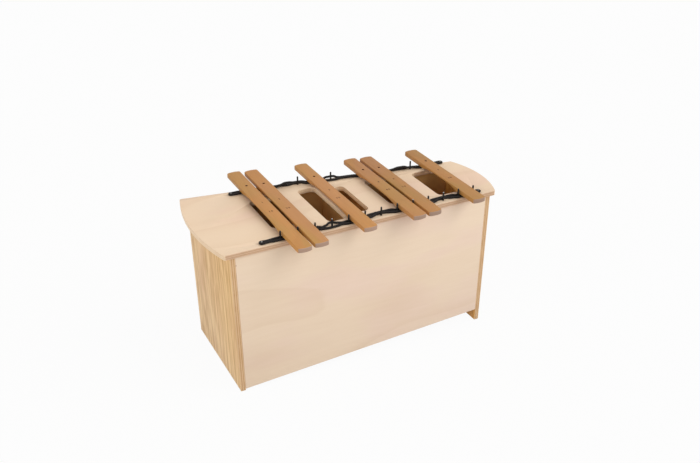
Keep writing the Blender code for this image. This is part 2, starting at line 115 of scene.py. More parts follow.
floor_mesh = bpy.data.meshes.new("floor")
side = FLOOR_HALF_SIDE
floor_mesh.from_pydata([(-side, -side, 0), (side, -side, 0), (side, side, 0), (-side, side, 0)],
                       [], [(0, 1, 2, 3)])
floor = bpy.data.objects.new("floor", floor_mesh)
bpy.context.scene.collection.objects.link(floor)
floor_paint = bpy.data.materials.new("floor_paint")
floor_paint.use_nodes = True
floor_mesh.materials.append(floor_paint)
tree = floor_paint.node_tree
matt = tree.nodes["Principled BSDF"]
matt.inputs["Base Color"].default_value = FLOOR_COLOUR
matt.inputs["Roughness"].default_value = 1.0
matt.inputs["Specular IOR Level"].default_value = 0.0
glow = add_node(tree, "ShaderNodeEmission", {"Color": (1.0, 1.0, 1.0, 1.0), "Strength": 1.0})
share = add_node(tree, "ShaderNodeMath", {0: seen_directly(tree), 1: FLOOR_WHITENING},
                 operation="MULTIPLY")
mixed = add_node(tree, "ShaderNodeMixShader", {0: share.outputs[0], 1: matt.outputs[0],
                                               2: glow.outputs[0]})
tree.links.new(mixed.outputs[0], tree.nodes["Material Output"].inputs["Surface"])

lens = bpy.data.cameras.new("camera")
lens.sensor_width = SENSOR_WIDTH
lens.lens = SENSOR_WIDTH * FOCAL_LENGTH_PIXELS / PICTURE_WIDTH
lens.shift_y = (AXIS_HEIGHT_PIXELS - PICTURE_HEIGHT / 2) / PICTURE_WIDTH
camera = bpy.data.objects.new("camera", lens)
camera.location = CAMERA_PLACE
camera.rotation_euler = (math.pi / 2 - CAMERA_DIP, 0.0, -CAMERA_TURN)
bpy.context.scene.collection.objects.link(camera)
bpy.context.scene.camera = camera
bpy.context.scene.view_settings.view_transform = "Standard"

# The box: end boards, front, back and bottom of birch plywood, sanded, with eased arrises and
# a clear satin lacquer, glued and bradded together. Four thin partitions part the chambers.
ARRIS = 0.0008
ARRIS_ANGLE = math.radians(50)
PLY_COUNT = 5.0
FACE_LIMITS = (0.62, 0.86)
PALE_VENEER = (0.865, 0.690, 0.520, 1.0)
DEEP_VENEER = (0.755, 0.560, 0.390, 1.0)
ROSE_VENEER = (0.860, 0.665, 0.530, 1.0)
PALE_PINE = (0.880, 0.600, 0.290, 1.0)
DEEP_PINE = (0.600, 0.335, 0.115, 1.0)
ROSE_PINE = (0.770, 0.475, 0.235, 1.0)
# Partition wood, browner and darker than the outer veneer: in part raw wood, in part painted shade of
# the chambers.
PALE_INNER = (0.780, 0.470, 0.180, 1.0)
DEEP_INNER = (0.590, 0.325, 0.115, 1.0)
ROSE_INNER = (0.730, 0.410, 0.165, 1.0)
LONG_PLY = (0.740, 0.510, 0.300, 1.0)
END_PLY = (0.540, 0.300, 0.130, 1.0)
GLUE_LINE = (0.330, 0.150, 0.055, 1.0)
# Multiplied onto faces that point into the box: rawer, browner wood, and in part painted shade of the
# chambers.
INNER_RAW_AND_PAINTED_SHADE = (0.900, 0.680, 0.340, 1.0)
FILLER = (0.330, 0.130, 0.060, 1.0)
FILLER_RADIUS = 0.0022
LACQUER_ROUGHNESS = 0.45
LACQUER_SHINE = 0.30


def new_group(name, inputs, outputs):
    """An empty shader node group with named sockets, and its input and output nodes."""
    group = bpy.data.node_groups.new(name, "ShaderNodeTree")
    for label, kind, start in inputs:
        socket = group.interface.new_socket(label, in_out="INPUT", socket_type=kind)
        if start is not None:
            socket.default_value = start
    for label, kind in outputs:
        group.interface.new_socket(label, in_out="OUTPUT", socket_type=kind)
    return group, group.nodes.new("NodeGroupInput").outputs, group.nodes.new("NodeGroupOutput").inputs


def mixed_colour(tree, share, first, second, way="MIX"):
    """Two colours mixed by a share."""
    mix = tree.nodes.new("ShaderNodeMix")
    mix.data_type = "RGBA"
    mix.blend_type = way
    for socket, value in ((mix.inputs[0], share), (mix.inputs[6], first), (mix.inputs[7], second)):
        if isinstance(value, bpy.types.NodeSocket):
            tree.links.new(value, socket)
        else:
            socket.default_value = value
    return mix.outputs[2]


def calc(tree, operation, first, second=0.0, third=0.0, clamp=False):
    return add_node(tree, "ShaderNodeMath", {0: first, 1: second, 2: third},
                    operation=operation, use_clamp=clamp).outputs[0]


def ranged(tree, value, low, high, to_low=0.0, to_high=1.0, way="SMOOTHSTEP"):
    return add_node(tree, "ShaderNodeMapRange", {"Value": value, "From Min": low, "From Max": high,
                                                 "To Min": to_low, "To Max": to_high},
                    interpolation_type=way).outputs[0]


def stretched(tree, vector, scale):
    return add_node(tree, "ShaderNodeVectorMath", {0: vector, 1: scale},
                    operation="MULTIPLY").outputs[0]


def noise(tree, vector, scale, detail=3.0, roughness=0.5, distortion=0.0):
    return add_node(tree, "ShaderNodeTexNoise", {
        "Vector": vector, "Scale": scale, "Detail": detail, "Roughness": roughness,
        "Distortion": distortion}).outputs["Fac"]


def make_veneer_group():
    """Wood cut along its grain, which runs along the vector's X.

    A stretched noise is read as the height of growth rings, and each ring darkens towards its
    late wood. Finer ones give streaks, fibres and short pores. Two slow ones make the colour
    lighter and darker, and turn it in places towards the rosy one.
    """
    group, given, out = new_group(
        "veneer",
        (("Vector", "NodeSocketVector", None), ("Pale", "NodeSocketColor", PALE_VENEER),
         ("Deep", "NodeSocketColor", DEEP_VENEER), ("Rose", "NodeSocketColor", ROSE_VENEER),
         ("Figure", "NodeSocketFloat", 0.5), ("Rings", "NodeSocketFloat", 6.0),
         ("Streak", "NodeSocketFloat", 0.3), ("Fibre", "NodeSocketFloat", 0.3)),
        (("Color", "NodeSocketColor"), ("Height", "NodeSocketFloat")))
    place = given["Vector"]
    field = noise(group, stretched(group, place, (1.0, 3.6, 3.6)), 1.0, 1.6, 0.45, 0.5)
    ring = calc(group, "FRACT", calc(group, "MULTIPLY", field, given["Rings"]))
    late = calc(group, "MULTIPLY", calc(group, "POWER", ring, 3.0),
                ranged(group, ring, 0.90, 1.0, 1.0, 0.0))
    cloud = noise(group, stretched(group, place, (3.0, 8.0, 8.0)), 1.0, 3.0, 0.6)
    streak = noise(group, stretched(group, place, (6.0, 70.0, 70.0)), 1.0, 3.0, 0.55, 0.4)
    fibre = noise(group, stretched(group, place, (12.0, 520.0, 520.0)), 1.0, 2.0, 0.6)
    pores = noise(group, stretched(group, place, (70.0, 900.0, 900.0)), 1.0, 1.0)
    amount = calc(group, "MULTIPLY_ADD", late, 0.9, calc(group, "SUBTRACT", cloud, 0.35))
    amount = calc(group, "MULTIPLY", amount, given["Figure"])
    amount = calc(group, "MULTIPLY_ADD", calc(group, "SUBTRACT", streak, 0.42),
                  calc(group, "MULTIPLY", given["Streak"], 3.0), amount)
    amount = calc(group, "MULTIPLY_ADD", calc(group, "SUBTRACT", fibre, 0.5), given["Fibre"],
                  amount)
    amount = calc(group, "MULTIPLY_ADD", ranged(group, pores, 0.66, 0.74), 0.15, amount, True)
    rosy = noise(group, stretched(group, place, (2.4, 6.0, 6.0)), 1.0, 2.0, 0.5, 0.3)
    pale = mixed_colour(group, ranged(group, rosy, 0.46, 0.66), given["Pale"], given["Rose"])
    group.links.new(mixed_colour(group, amount, pale, given["Deep"]), out["Color"])
    group.links.new(fibre, out["Height"])
    return group


def make_plies_group():
    """A plywood edge: plies of alternate grain, with a thin dark glue line between each two."""
    group, given, out = new_group(
        "plies",
        (("Across", "NodeSocketFloat", 0.0), ("Vector", "NodeSocketVector", None),
         ("Long", "NodeSocketColor", LONG_PLY), ("End", "NodeSocketColor", END_PLY)),
        (("Color", "NodeSocketColor"), ("Height", "NodeSocketFloat")))
    waver = noise(group, given["Vector"], 14.0, 1.0)
    place = calc(group, "MULTIPLY_ADD", given["Across"], PLY_COUNT,
                 calc(group, "MULTIPLY", calc(group, "SUBTRACT", waver, 0.5), 0.12))
    odd = calc(group, "GREATER_THAN", calc(group, "MODULO", place, 2.0), 1.0)
    line = calc(group, "ABSOLUTE", calc(group, "SUBTRACT", calc(group, "FRACT", place), 0.5))
    line = ranged(group, line, 0.40, 0.49)
    grit = noise(group, given["Vector"], 380.0, 2.0, 0.7)
    patch = noise(group, given["Vector"], 24.0, 2.0)
    shade = calc(group, "MULTIPLY", odd, ranged(group, grit, 0.3, 0.7, 0.65, 0.95))
    shade = calc(group, "MULTIPLY_ADD", ranged(group, patch, 0.4, 0.75), 0.25, shade, True)
    colour = mixed_colour(group, shade, given["Long"], given["End"])
    colour = mixed_colour(group, calc(group, "MULTIPLY", line, 0.45), colour, GLUE_LINE)
    group.links.new(colour, out["Color"])
    group.links.new(grit, out["Height"])
    return group


veneer_group = make_veneer_group()
plies_group = make_plies_group()
AXES = ("X", "Y", "Z")


def use_group(tree, group, inputs):
    made = tree.nodes.new("ShaderNodeGroup")
    made.node_tree = group
    for key, value in inputs.items():
        if isinstance(value, bpy.types.NodeSocket):
            tree.links.new(value, made.inputs[key])
        else:
            made.inputs[key].default_value = value
    return made.outputs


def plywood(name, thickness_axis, low, high, turn, inner=0, shift=(0.0, 0.0, 0.0), long_ply=LONG_PLY,
            end_ply=END_PLY, fillers=(), **veneer):
    """Veneer on the two faces and plies on the edges, told apart by which way a face points.

    The turn brings the board's grain onto the veneer's X. The face that points into the box, to the
    axis's lower end at -1 or its higher one at 1, is rawer and browner, and that darkening is in part
    painted shade of the chambers. Fillers are the places of filled brad holes.
    """
    made = bpy.data.materials.new(name)
    made.use_nodes = True
    tree = made.node_tree
    place = add_node(tree, "ShaderNodeTexCoord").outputs
    mapping = add_node(tree, "ShaderNodeMapping", {"Vector": place["Object"], "Location": shift,
                                                   "Rotation": turn})
    looks = {label.capitalize(): value for label, value in veneer.items()}
    face = use_group(tree, veneer_group, {"Vector": mapping.outputs[0], **looks})
    apart = add_node(tree, "ShaderNodeSeparateXYZ", {0: place["Object"]}).outputs
    across = ranged(tree, apart[thickness_axis], low, high, way="LINEAR")
    edge = use_group(tree, plies_group, {"Across": across, "Vector": place["Object"],
                                         "Long": long_ply, "End": end_ply})
    points = add_node(tree, "ShaderNodeSeparateXYZ", {0: place["Normal"]}).outputs[thickness_axis]
    is_face = ranged(tree, calc(tree, "ABSOLUTE", points), *FACE_LIMITS)
    inward = calc(tree, "GREATER_THAN", calc(tree, "MULTIPLY", points, float(inner)), 0.5)
    # Inner faces: raw, browner wood, in part painted shade of the chambers.
    wood = mixed_colour(tree, inward, face["Color"], INNER_RAW_AND_PAINTED_SHADE, "MULTIPLY")
    colour = mixed_colour(tree, is_face, edge["Color"], wood)
    for filler in fillers:
        away = add_node(tree, "ShaderNodeVectorMath", {0: place["Object"], 1: filler},
                        operation="DISTANCE").outputs["Value"]
        colour = mixed_colour(tree, ranged(tree, away, 0.5 * FILLER_RADIUS, FILLER_RADIUS, 0.8, 0.0),
                              colour, FILLER)
    height = calc(tree, "MULTIPLY", face["Height"], is_face)
    height = calc(tree, "ADD", height, calc(tree, "MULTIPLY", edge["Height"],
                                            calc(tree, "SUBTRACT", 1.0, is_face)))
    bump = add_node(tree, "ShaderNodeBump", {"Strength": 0.25, "Distance": 0.0002,
                                             "Height": height})
    shader = tree.nodes["Principled BSDF"]
    tree.links.new(colour, shader.inputs["Base Color"])
    tree.links.new(bump.outputs[0], shader.inputs["Normal"])
    shader.inputs["Roughness"].default_value = LACQUER_ROUGHNESS
    shader.inputs["Specular IOR Level"].default_value = LACQUER_SHINE
    return made


def add_piece(name, mesh, body, finish=None, stands_for=()):
    """A finished piece that moves with a body and stands for the solids named."""
    piece = bpy.data.objects.new(name, mesh)
    bpy.context.scene.collection.objects.link(piece)
    if finish is not None:
        mesh.materials.clear()
        mesh.materials.append(finish)
    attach(piece, body)
    if stands_for:
        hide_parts(*stands_for)
    return piece


def eased_board(node, ease, segments=2):
    """The node's own board, merged to whole faces, with every arris eased by a small round."""
    body = bmesh.new()
    body.from_mesh(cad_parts[node].data)
    bmesh.ops.remove_doubles(body, verts=body.verts, dist=1e-5)
    bmesh.ops.dissolve_limit(body, angle_limit=math.radians(1), verts=body.verts,
                             edges=body.edges)
    arrises = [edge for edge in body.edges if edge.calc_face_angle(0.0) > ARRIS_ANGLE]
    bmesh.ops.bevel(body, geom=arrises, offset=ease, segments=segments, profile=0.5,
                    affect="EDGES", clamp_overlap=True)
    mesh = bpy.data.meshes.new(node + "_board")
    body.to_mesh(mesh)
    body.free()
    mesh.shade_smooth()
    mesh.set_sharp_from_angle(angle=math.radians(35))
    return mesh


ON_X, ON_Y, ON_Z = (0.0, 0.0, 0.0), (0.0, 0.0, math.pi / 2), (0.0, math.pi / 2, 0.0)


def add_board(node, thickness_axis, turn, **looks):
    low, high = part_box(node)
    axis = AXES.index(thickness_axis)
    finish = plywood(node + "_ply", thickness_axis, low[axis], high[axis], turn, **looks)
    return add_piece(node + "_board", eased_board(node, ARRIS), "resonator", finish,
                     [node])


LEFT_FILLER = (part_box("front_panel")[0].x + 0.0015, FRONT, 0.507)
RIGHT_FILLER = (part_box("right_end_panel")[0].x + 0.002, FRONT, 0.462)
pine = {"pale": PALE_PINE, "deep": DEEP_PINE, "rose": ROSE_PINE}
add_board("left_end_panel", "X", ON_Z, inner=1, figure=0.45, rings=9.0, streak=1.25, fibre=0.55,
          **pine)
add_board("right_end_panel", "X", ON_Z, inner=-1, figure=0.45, rings=9.0, streak=1.10, fibre=0.50,
          shift=(0.4, 0.3, 0.0), fillers=[RIGHT_FILLER], **pine)
add_board("front_panel", "Y", ON_X, inner=1, figure=0.45, rings=5.0, streak=0.14, fibre=0.16,
          fillers=[LEFT_FILLER])
add_board("back_panel", "Y", ON_X, inner=-1, figure=0.45, rings=5.0, streak=0.14, fibre=0.16,
          shift=(0.7, 0.0, 0.2))
add_board("bottom_panel", "Z", ON_X, inner=1, figure=0.5)
for number in range(1, 5):
    add_board(f"partition_{number}", "X", ON_Z, figure=0.5, shift=(0.0, 0.31 * number, 0.0),
              pale=PALE_INNER, deep=DEEP_INNER, rose=ROSE_INNER)

# The lid: one board of the same plywood, its ends sawn to a bow, with a rounded opening over
# each sound chamber. All its edges are eased and lacquered like its face.
# The cut edges of its openings and of its bowed ends get paler plies than its other edges: painted
# light.
LID_ARRIS = 0.0009
LID_RIM = 0.030
BOWED_LIMIT = 0.3
PALE_LID = (0.840, 0.640, 0.450, 1.0)
DEEP_LID = (0.720, 0.505, 0.325, 1.0)
ROSE_LID = (0.830, 0.600, 0.440, 1.0)
LID_LONG_PLY = (0.700, 0.470, 0.310, 1.0)
LID_END_PLY = (0.560, 0.340, 0.195, 1.0)
# Paler plies for those cut edges: painted light that brightens edges lying in shade.
PAINTED_LIGHT_LONG_PLY = (0.930, 0.730, 0.500, 1.0)
PAINTED_LIGHT_END_PLY = (0.820, 0.570, 0.360, 1.0)


def lid_ply(name, long_ply, end_ply):
    low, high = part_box("lid")
    return plywood(name, "Z", low.z, high.z, ON_X, inner=-1, shift=(0.15, 0.5, 0.0),
                   long_ply=long_ply, end_ply=end_ply, pale=PALE_LID, deep=DEEP_LID,
                   rose=ROSE_LID, figure=0.45, rings=6.0, streak=0.05, fibre=0.10)


def mark_painted_light_edges(mesh):
    """Give the cut edges of the openings and of the bowed ends the paler plies, which are painted
    light.
    """
    count = len(mesh.polygons)
    centres, normals = np.empty(3 * count), np.empty(3 * count)
    mesh.polygons.foreach_get("center", centres)
    mesh.polygons.foreach_get("normal", normals)
    centres, normals = centres.reshape(-1, 3), normals.reshape(-1, 3)
    left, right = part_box("left_end_panel")[1].x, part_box("right_end_panel")[0].x
    back = np.interp(centres[:, 0], (left, right), (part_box("left_end_panel")[1].y,
                                                    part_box("right_end_panel")[1].y))
    inside = (centres[:, 0] > left) & (centres[:, 0] < right)
    inside &= (centres[:, 1] > FRONT + LID_RIM) & (centres[:, 1] < back - LID_RIM)
    bowed = np.abs(normals[:, 0]) > BOWED_LIMIT
    # Painted light: these edge faces take the paler plies.
    pale = (inside | bowed) & (np.abs(normals[:, 2]) < FACE_LIMITS[0])
    mesh.polygons.foreach_set("material_index", pale.astype(np.int32))


lid_mesh = eased_board("lid", LID_ARRIS)
lid_mesh.materials.clear()
lid_mesh.materials.append(lid_ply("lid_ply", LID_LONG_PLY, LID_END_PLY))
lid_mesh.materials.append(lid_ply("painted_light_edge_ply", PAINTED_LIGHT_LONG_PLY, PAINTED_LIGHT_END_PLY))
mark_painted_light_edges(lid_mesh)
add_piece("lid_board", lid_mesh, "resonator", None, ["lid"])

# The tone bars: straight-grained hardwood, planed thin in a long arch underneath to tune them,
# with bowed ends, a countersunk hole for the back pin and plain stamped numbers.
BAR_END_BOW = 0.0050
BAR_CORNER_RADIUS = 0.0080
BAR_ARRIS = 0.0030
BAR_ARRIS_STEPS = 6
BAR_BOW_STEPS = 14
BAR_CORNER_STEPS = 8
BAR_STATIONS = 90
BAR_HOLE_RADIUS = 0.0048
BAR_SINK = 0.0014
ARCH_SET_BACK = 0.028
BAR_MIDDLE_THICKNESS = 0.0075
MARK_HEIGHT = 0.0120
MARK_STROKE = 0.0004
MARK_DEPTH = 0.0005
MARK_PLACES = ((0.1715, 0.2475), (0.1685, 0.2454), (0.1606, 0.2313), (0.1390, 0.2099),
               (0.1341, 0.2071), (0.1227, 0.2015))
BAR_ORANGE = (0.590, 0.270, 0.072, 1.0)
BAR_OCHRE = (0.545, 0.278, 0.072, 1.0)
BAR_ROSE = (0.580, 0.267, 0.092, 1.0)
BAR_DEEP = (0.400, 0.165, 0.040, 1.0)
BAR_END_GRAIN = (0.450, 0.312, 0.240, 1.0)
BAR_TONES = (0.96, 0.93, 0.96, 0.86, 0.81, 0.82)
# Painted shade: how much darker each bar's colour gets at its far end.
FAR_PAINTED_SHADE = (0.87, 0.84, 0.80)
# A scorched colour for the stamped marks. On the walls of the pin holes it is painted shade.
BURNT_STAMP_AND_HOLE_SHADE = (0.075, 0.022, 0.010, 1.0)


def make_bar_material(name, tone, near, far):
    """Fine straight grain along Y over slow changes of colour, and greyer end grain.

    Each bar is sawn from a plank of its own tone. Towards its far end its colour is made a little
    darker, as painted shade.
    """
    made = bpy.data.materials.new(name)
    made.use_nodes = True
    tree = made.node_tree
    place = add_node(tree, "ShaderNodeTexCoord").outputs
    turned_place = add_node(tree, "ShaderNodeMapping", {"Vector": place["Object"],
                                                        "Rotation": ON_Y}).outputs[0]
    drift = noise(tree, stretched(tree, turned_place, (5.0, 16.0, 16.0)), 1.0, 2.0)
    base = mixed_colour(tree, ranged(tree, drift, 0.38, 0.62), BAR_ORANGE, BAR_OCHRE)
    grain = use_group(tree, veneer_group, {"Vector": turned_place, "Pale": base,
                                           "Rose": BAR_ROSE, "Deep": BAR_DEEP, "Figure": 0.25,
                                           "Rings": 9.0, "Streak": 0.14, "Fibre": 0.55})
    points = add_node(tree, "ShaderNodeSeparateXYZ", {0: place["Normal"]}).outputs
    is_end = ranged(tree, calc(tree, "ABSOLUTE", points["Y"]), 0.25, 0.90)
    grit = noise(tree, place["Object"], 900.0, 2.0, 0.7)
    end = mixed_colour(tree, ranged(tree, grit, 0.3, 0.7, 0.0, 0.3), BAR_END_GRAIN, BAR_DEEP)
    colour = mixed_colour(tree, is_end, grain["Color"], end)
    # Painted shade: the colour darkens evenly towards the bar's far end.
    along = add_node(tree, "ShaderNodeSeparateXYZ", {0: place["Object"]}).outputs["Y"]
    shade = mixed_colour(tree, ranged(tree, along, near, far, way="LINEAR"),
                         (tone, tone, tone, 1.0), (*(tone * share for share in FAR_PAINTED_SHADE), 1.0))
    colour = mixed_colour(tree, 1.0, colour, shade, "MULTIPLY")
    bump = add_node(tree, "ShaderNodeBump", {"Strength": 0.3, "Distance": 0.0002,
                                             "Height": grain["Height"]})
    shader = tree.nodes["Principled BSDF"]
    tree.links.new(colour, shader.inputs["Base Color"])
    tree.links.new(bump.outputs[0], shader.inputs["Normal"])
    shader.inputs["Roughness"].default_value = 0.45
    shader.inputs["Specular IOR Level"].default_value = 0.25
    return made


def make_stamp_and_hole_shade_material():
    """The scorched bottom of a stamped mark, also put on the walls of each bar's pin hole and
    countersink as painted shade.
    """
    made = bpy.data.materials.new("stamp_burn_and_hole_shade")
    made.use_nodes = True
    tree = made.node_tree
    place = add_node(tree, "ShaderNodeTexCoord").outputs
    grit = noise(tree, place["Object"], 1400.0, 2.0)
    shader = tree.nodes["Principled BSDF"]
    tree.links.new(mixed_colour(tree, ranged(tree, grit, 0.4, 0.7, 0.0, 0.3), BURNT_STAMP_AND_HOLE_SHADE, BAR_DEEP),
                   shader.inputs["Base Color"])
    shader.inputs["Roughness"].default_value = 0.8
    return made


def bar_half_outline(length, width):
    """The right half of a bar in plan, from the middle of its near end to that of its far end.

    The end is a circle through the corners that bows out by the bow, the corner a circle
    tangent to it and to the side, and the far half mirrors the near one.
    """
    bow_radius = (width ** 2 / 4 + BAR_END_BOW ** 2) / (2 * BAR_END_BOW)
    corner_x = width / 2 - BAR_CORNER_RADIUS
    meet = math.asin(corner_x / (bow_radius - BAR_CORNER_RADIUS))
    corner_y = bow_radius - (bow_radius - BAR_CORNER_RADIUS) * math.cos(meet)
    turn = np.linspace(0.0, meet, BAR_BOW_STEPS)
    bow = np.stack([bow_radius * np.sin(turn), bow_radius * (1 - np.cos(turn))], axis=1)
    turn = np.linspace(meet, math.pi / 2, BAR_CORNER_STEPS)[1:]
    corner = np.stack([corner_x + BAR_CORNER_RADIUS * np.sin(turn),
                       corner_y - BAR_CORNER_RADIUS * np.cos(turn)], axis=1)
    near = np.concatenate([bow, corner])
    side_y = np.linspace(near[-1, 1], length - near[-1, 1], BAR_STATIONS)[1:-1]
    side = np.stack([np.full(len(side_y), width / 2), side_y], axis=1)
    far = near[::-1] * (1, -1) + (0, length)
    return np.concatenate([near, side, far])


def edge_rings(outline, outward, low, high, ease, steps):
    """A board's edge as rings of points, from its top face to its bottom face.

    Each arris is a quarter circle with the ease as its radius, carried round the outline.
    """
    turn = np.linspace(0.0, math.pi / 2, steps)
    inset = ease * (1 - np.sin(turn))
    drop = ease * (1 - np.cos(turn))
    inset = np.concatenate([inset, inset[::-1]])[:, None, None]
    flat = outline - inset * outward
    z = np.concatenate([high - drop[:, None], low + drop[::-1, None]])
    return np.concatenate([flat, np.broadcast_to(z, flat.shape[:2])[..., None]], axis=2)


def outward_of(outline):
    """Unit vectors that point out of a closed outline whose points run counter-clockwise."""
    along = np.roll(outline, -1, axis=0) - np.roll(outline, 1, axis=0)
    out = np.stack([along[:, 1], -along[:, 0]], axis=1)
    return out / np.linalg.norm(out, axis=1)[:, None]


def ring_quads(count, around, wrapped=False):
    """Faces between rings of points that follow each other, and on from the last to the first
    where they are wrapped."""
    index = np.arange(count * around).reshape(count, around)
    rows = index if not wrapped else np.concatenate([index, index[:1]])
    after = np.roll(rows, -1, axis=1)
    return np.stack([rows[:-1], after[:-1], after[1:], rows[1:]], axis=-1).reshape(-1, 4)


def closed_mesh(name, points, faces, sharp=None):
    """A mesh of these points and faces, turned to point outwards and shaded smooth."""
    mesh = bpy.data.meshes.new(name)
    mesh.from_pydata(points.tolist(), [], faces)
    body = bmesh.new()
    body.from_mesh(mesh)
    bmesh.ops.recalc_face_normals(body, faces=body.faces)
    body.to_mesh(mesh)
    body.free()
    mesh.shade_smooth()
    if sharp is not None:
        mesh.set_sharp_from_angle(angle=math.radians(sharp))
    return mesh


def bar_mesh(name, low, high, arch_front, arch_back):
    """A bar: its edge carried round its plan outline, with flat strips across its two faces.

    The underside rises between the cords by depth * (1 - t^4), where t runs from -1 to 1
    over the arch.
    """
    half = bar_half_outline(high.y - low.y, high.x - low.x)
    count = len(half)
    outline = np.concatenate([half, half[-2:0:-1] * (-1, 1)])
    outline += ((low.x + high.x) / 2, low.y)
    t = np.clip((2 * outline[:, 1] - arch_front - arch_back) / (arch_back - arch_front), -1, 1)
    depth = high.z - low.z - BAR_MIDDLE_THICKNESS
    bottom = low.z + depth * (1 - t ** 4)
    rings = edge_rings(outline, outward_of(outline), bottom, np.full(len(outline), high.z),
                       BAR_ARRIS, BAR_ARRIS_STEPS)
    around = len(outline)
    right = np.arange(count)
    left = (2 * count - 2 - right) % around
    strips = np.stack([right[1:-2], right[2:-1], left[2:-1], left[1:-2]], axis=1)
    ends = np.array([(0, 1, around - 1), (count - 1, count, count - 2)])
    last = (len(rings) - 1) * around
    faces = ring_quads(len(rings), around).tolist()
    for first in (0, last):
        faces += (strips + first).tolist() + (ends + first).tolist()
    return closed_mesh(name, rings.reshape(-1, 3), faces)


def cone_cutter(name, place, low_radius, high_radius, depth, finish):
    """A drill or a countersink, upright at its place, that leaves the given colour on the walls it
    cuts.
    """
    body = bmesh.new()
    bmesh.ops.create_cone(body, cap_ends=True, segments=40, radius1=low_radius,
                          radius2=high_radius, depth=depth, matrix=Matrix.Translation(place))
    mesh = bpy.data.meshes.new(name)
    body.to_mesh(mesh)
    body.free()
    mesh.materials.append(finish)
    cutter = bpy.data.objects.new(name, mesh)
    bpy.context.scene.collection.objects.link(cutter)
    return cutter


def mark_cutter(text, place, finish):
    """The stamp that presses plain characters into a bar's top, from above its place."""
    letters = bpy.data.curves.new("mark", "FONT")
    letters.body = text
    letters.size = MARK_HEIGHT
    letters.align_x, letters.align_y = "CENTER", "CENTER"
    letters.offset = MARK_STROKE
    letters.extrude = MARK_DEPTH
    letters.resolution_u = 3
    holder = bpy.data.objects.new("mark", letters)
    bpy.context.scene.collection.objects.link(holder)
    graph = bpy.context.evaluated_depsgraph_get()
    mesh = bpy.data.meshes.new_from_object(holder.evaluated_get(graph))
    bpy.data.objects.remove(holder)
    mesh.transform(Matrix.Translation(place))
    body = bmesh.new()
    body.from_mesh(mesh)
    bmesh.ops.remove_doubles(body, verts=body.verts, dist=1e-6)
    bmesh.ops.recalc_face_normals(body, faces=body.faces)
    body.to_mesh(mesh)
    body.free()
    mesh.materials.clear()
    mesh.materials.append(finish)
    cutter = bpy.data.objects.new("mark", mesh)
    bpy.context.scene.collection.objects.link(cutter)
    return cutter


def bored(mesh, cutters):
    """The mesh with each cutter taken out of it. The cutters are used up."""
    holder = bpy.data.objects.new(mesh.name, mesh)
    bpy.context.scene.collection.objects.link(holder)
    for cutter in cutters:
        change = holder.modifiers.new(cutter.name, "BOOLEAN")
        change.operation = "DIFFERENCE"
        change.material_mode = "TRANSFER"
        change.object = cutter
    graph = bpy.context.evaluated_depsgraph_get()
    done = bpy.data.meshes.new_from_object(holder.evaluated_get(graph))
    bpy.data.objects.remove(holder)
    for cutter in cutters:
        bpy.data.objects.remove(cutter)
    done.shade_smooth()
    done.set_sharp_from_angle(angle=math.radians(32))
    return done


def middle_of(node):
    low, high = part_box(node)
    return (low + high) / 2


stamp_burn_and_hole_shade = make_stamp_and_hole_shade_material()
back_pins = [middle_of(f"back_pin_{number:02d}") for number in range(1, 10)]
front_row_y = middle_of("front_pin_sleeve_01").y
for number, (marks, tone) in enumerate(zip(MARK_PLACES, BAR_TONES), start=1):
    node = f"tone_bar_{number}"
    low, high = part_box(node)
    middle = (low.x + high.x) / 2
    pin = min(back_pins, key=lambda place: abs(place.x - middle))
    wood = bar_mesh(f"bar_{number}_wood", low, high, front_row_y + ARCH_SET_BACK,
                    pin.y - ARCH_SET_BACK)
    wood.materials.append(make_bar_material(f"bar_{number}_hardwood", tone, low.y, high.y))
    # The through hole and its countersink leave the dark stamp colour on their walls: painted shade
    # in the hole.
    through = cone_cutter("through", (pin.x, pin.y, high.z), BAR_HOLE_RADIUS, BAR_HOLE_RADIUS,
                          4 * (high.z - low.z), stamp_burn_and_hole_shade)
    sink = cone_cutter("sink", (pin.x, pin.y, high.z), BAR_HOLE_RADIUS - BAR_SINK,
                       BAR_HOLE_RADIUS + BAR_SINK, 2 * BAR_SINK, stamp_burn_and_hole_shade)
    stamps = [mark_cutter(text, (middle, FRONT + mark, high.z), stamp_burn_and_hole_shade)
              for text, mark in zip((f"{number} 0", f"{number}"), marks)]
    add_piece(f"bar_{number}_wood", bored(wood, [through, sink, *stamps]), f"bar_{number}",
              None, [node])

# The cords: a black sheathed cord laid double, its two strands crossing in open places and
# looped round a nail at each end. The bars rest on them and press them a little flat.
CORD_DIAMETER = 0.0084
PRESSED_HEIGHT = 0.0070
PRESSED_WIDTH = 0.0090
PRESSED_EASE = 0.0080
SOFTENED_STEPS = 4
STRAND_GAP = 0.0002
PIN_GAP = 0.0004
NAIL_SHANK_RADIUS = 0.0015
CORD_STEPS = 44
LOOP_STEPS = 26
CORD_SIDES = 18
FRONT_EYE_SPREAD = 0.0240
BACK_EYE_SPREAD = 0.0220
SHEATH_THREADS = 10
CORD_BLACK = (0.012, 0.009, 0.008, 1.0)
CORD_WORN = (0.030, 0.023, 0.019, 1.0)
CORD_RADIUS = CORD_DIAMETER / 2
CLOSE = CORD_DIAMETER + STRAND_GAP
NAIL_CLEAR = NAIL_SHANK_RADIUS + PIN_GAP + CORD_RADIUS
LID_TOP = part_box("lid")[1].z
SEAM = 0.0003


def pin_clear(node):
    """How far a strand's middle passes from that of a pin that it lies against."""
    low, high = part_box(node)
    return (high.x - low.x) / 2 + PIN_GAP + CORD_RADIUS


FRONT_CLEAR = pin_clear("front_pin_sleeve_01")
BACK_CLEAR = pin_clear("back_pin_01")


def beside(clear, turn=0):
    """The strands pass either side of a pin, flat on the lid."""
    return 0.0, 2 * clear, turn


def behind(clear, turn):
    """Both strands pass behind a pin."""
    return clear + CLOSE / 2, CLOSE, turn


def opened(clear, spread, turn):
    """The near strand lies against the pin, and the far one is pushed back and up from it."""
    return abs(spread * math.cos(math.radians(turn))) / 2 - clear, spread, turn


